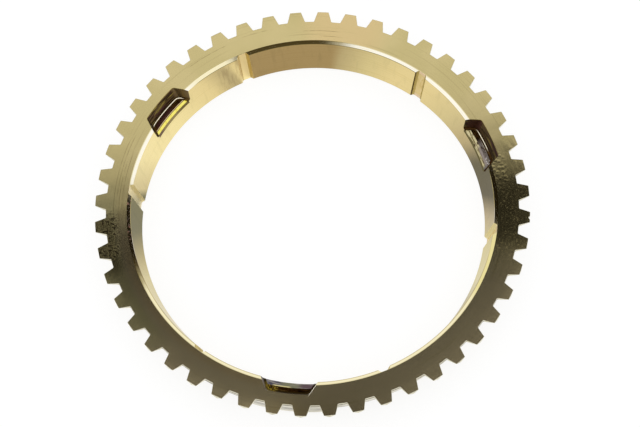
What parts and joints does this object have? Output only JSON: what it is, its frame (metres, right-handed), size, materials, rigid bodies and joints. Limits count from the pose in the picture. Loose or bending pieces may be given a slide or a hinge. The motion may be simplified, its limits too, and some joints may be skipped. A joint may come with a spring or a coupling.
{
  "type": "synchronizer ring",
  "caption": "Conical brass synchronizer ring with pointed blocking teeth, oil grooves in its friction cone, blind pockets in its face and driving lugs.",
  "frame": {"origin": "on the ring's axis, in the plane of the hub-side end face that the ring rests on", "axes": "+Z along the axis from the hub side to the toothed gear-side face, +X along an oil groove, half a degree off its middle"},
  "size_m": [0.12, 0.12, 0.0117],
  "materials": {
    "synchronizer_ring": "machined faces and cone, forged pockets"
  },
  "bodies": {
    "root": {"synchronizer_ring": "synchronizer_ring"}
  },
  "joints": []
}
